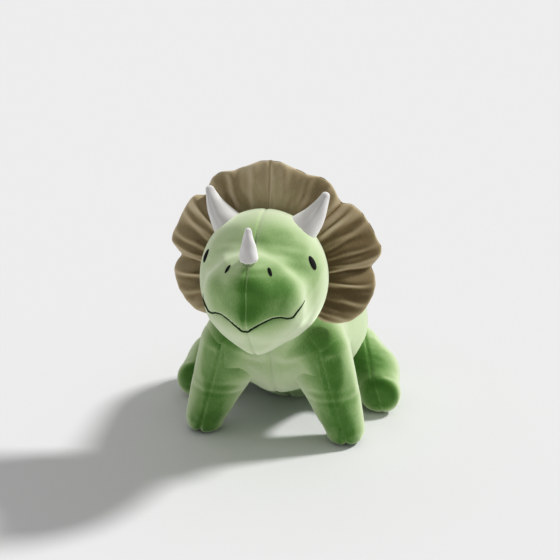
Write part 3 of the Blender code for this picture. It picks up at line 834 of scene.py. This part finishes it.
def frill_point(angle, share, back):
    """Point of the padded frill: share 0 at the head to 1 at the rim, on its front or back face."""
    up = np.where(angle > 90, 180 - angle, angle)
    inner, rim = frill_inner(angle), frill_rim(up)
    radius = inner + (rim - inner) * share
    swing = 24 * bump(up - 12, 34) + 8 * np.clip((-14 - up) / 18, 0, 1)
    middle = FRILL_BACK + share ** 1.3 * (4 + swing) + 5.5
    turn_up = np.radians(up)
    plump = 7.0 * np.clip(1 - share ** 5, 0, 1) ** 0.5 * (0.86 + 0.14 * np.cos(9 * turn_up))
    pleat = np.zeros(angle.shape)
    for centre, width, height in PLEATS:
        pleat += height * (bump(up - centre, width) - 0.45 * bump(up - centre - width * 1.5, width))
    wobble = 0.5 * np.sin(turn_up * 31 + 9 * share) + 0.35 * np.sin(turn_up * 53 - 5 * share)
    fold = np.zeros(angle.shape)
    for notch in NOTCHES:
        fold += 5.0 * bump(up - notch, 2.2) - 3.4 * bump(up - notch + 5.2, 3.2)
    grow = np.clip(share * 2.2, 0, 1) ** 0.7 * (1 - 0.25 * share ** 3)
    relief = (pleat * 1.5 + wobble - fold) * grow
    seam = 0.9 * bump(up - 90, 0.9)
    if back:
        depth = middle + plump - 0.55 * relief - seam
    else:
        depth = middle - plump - relief + seam
    turn = np.radians(angle)
    return HEAD + np.stack([radius * np.cos(turn), depth * MM, radius * np.sin(turn)], -1)


def build_frill():
    """Front and back panels, each a closed fabric shell; the front one also covers the batting."""
    columns, rows = 420, 46
    angle = np.linspace(FRILL_END, 180 - FRILL_END, columns)
    shares = 1 - (1 - np.linspace(0.0, 1.0, rows)) ** 1.25
    grid_angle, grid_share = np.meshgrid(angle, shares)
    grid = np.arange(rows * columns).reshape(rows, columns)
    quads = np.stack([grid[:-1, :-1], grid[:-1, 1:], grid[1:, 1:], grid[1:, :-1]], -1).reshape(-1, 4)
    border = np.concatenate([grid[0, :-1], grid[:-1, -1], grid[-1, :0:-1], grid[:0:-1, 0]])
    following = np.roll(border, -1)
    count = rows * columns
    walls = np.stack([border, following, following + count, border + count], -1)
    for name, back, nodes in (
        ("frill_face", False, ["frill_front_panel", "frill_batting"]),
        ("frill_reverse", True, ["frill_back_panel"]),
    ):
        outer = frill_point(grid_angle, grid_share, back)
        away = outer - frill_point(grid_angle, grid_share, not back)
        gap = np.linalg.norm(away, axis=-1, keepdims=True)
        inner = outer - away / np.maximum(gap, 1e-9) * np.minimum(CLOTH, 0.45 * gap)
        points = np.vstack([outer.reshape(-1, 3), inner.reshape(-1, 3)])
        faces = quads if back else quads[:, ::-1]
        sides = walls[:, ::-1] if back else walls
        shell = np.concatenate([faces, faces[:, ::-1] + count, sides])
        piece = mesh_object(name, points, shell.tolist())
        dress_padded(piece, BROWN, nodes, "head")


# ---------------------------------------------------------------- neck
def build_neck():
    """Soft roll between the chest and the head."""
    rows, spokes = 26, 64
    axis = unit(np.array([0.0, 0.66, -0.75]))
    right = np.array([1.0, 0.0, 0.0])
    front = np.cross(axis, right)
    points = []
    for row in range(rows):
        roll = 2 * math.pi * row / rows
        for k in range(spokes):
            turn = 2 * math.pi * k / spokes
            girth = 21 * MM + 5 * MM * math.cos(roll) + 0.4 * MM * math.cos(11 * turn)
            depth = 66.5 * MM + 3.2 * MM * math.sin(roll)
            reach = girth / (66 * MM)
            around = math.cos(turn) * right + math.sin(turn) * front
            points.append(HEAD + depth * (math.cos(reach) * axis + math.sin(reach) * around))
    faces = [[i % len(points) for i in face] for face in ring_faces(rows, spokes)]
    piece = mesh_object("neck_roll", points, faces)
    dress_padded(piece, GREEN, ["neck_pad"], "neck")


# ---------------------------------------------------------------- stage
def aim(thing, target):
    direction = Vector(target) - thing.location
    thing.rotation_euler = direction.to_track_quat("-Z", "Y").to_euler()


def build_camera():
    azimuth, elevation, distance = math.radians(11.0), math.radians(21.0), 1.30
    view_width = 0.56
    target = Vector((0.0, HEAD[1] + 85 * MM, 158 * MM))
    back = Vector((
        math.sin(azimuth) * math.cos(elevation),
        -math.cos(azimuth) * math.cos(elevation),
        math.sin(elevation),
    ))
    data = bpy.data.cameras.new("camera")
    data.sensor_width = 36.0
    data.lens = data.sensor_width * distance / view_width
    camera = bpy.data.objects.new("camera", data)
    bpy.context.scene.collection.objects.link(camera)
    camera.location = target + back * distance
    aim(camera, target)
    bpy.context.scene.camera = camera


def build_floor():
    mesh = bpy.data.meshes.new("floor")
    half = 150.0
    corners = [(-half, -half, 0), (half, -half, 0), (half, half, 0), (-half, half, 0)]
    mesh.from_pydata(corners, [], [(0, 1, 2, 3)])
    floor = bpy.data.objects.new("floor", mesh)
    bpy.context.scene.collection.objects.link(floor)
    paint = bpy.data.materials.new("studio floor")
    paint.use_nodes = True
    shader = paint.node_tree.nodes["Principled BSDF"]
    shader.inputs["Base Color"].default_value = (0.80, 0.80, 0.80, 1)
    shader.inputs["Roughness"].default_value = 1.0
    shader.inputs["Specular IOR Level"].default_value = 0.0
    mesh.materials.append(paint)


def build_light():
    """Soft light from all round and one broad key light from behind, on the camera's right."""
    world = bpy.data.worlds.new("studio")
    world.use_nodes = True
    nodes, links = world.node_tree.nodes, world.node_tree.links
    sky = nodes.new("ShaderNodeTexCoord")
    height = nodes.new("ShaderNodeSeparateXYZ")
    fill = nodes.new("ShaderNodeValToRGB")
    links.new(sky.outputs["Generated"], height.inputs[0])
    links.new(height.outputs["Z"], fill.inputs["Fac"])
    links.new(fill.outputs["Color"], nodes["Background"].inputs["Color"])
    fill.color_ramp.elements.new(0.5)
    levels = ((0.05, 0.80), (0.16, 0.22), (0.95, 0.55))
    for element, (position, level) in zip(fill.color_ramp.elements, levels):
        element.position = position
        element.color = (level, level, level, 1.0)
    nodes["Background"].inputs["Strength"].default_value = 1.0
    bpy.context.scene.world = world
    bpy.context.scene.view_settings.view_transform = "Standard"
    key = bpy.data.lights.new("key", "SUN")
    key.angle = math.radians(9)
    key.energy = 2.85
    lamp = bpy.data.objects.new("key", key)
    bpy.context.scene.collection.objects.link(lamp)
    lamp.location = Vector((0.60, 0.36, 0.66))
    aim(lamp, (0.0, 0.0, 0.0))


build_torso()
build_legs()
build_tail()
build_head()
build_face()
build_horns()
build_frill()
build_neck()
build_camera()
build_floor()
build_light()
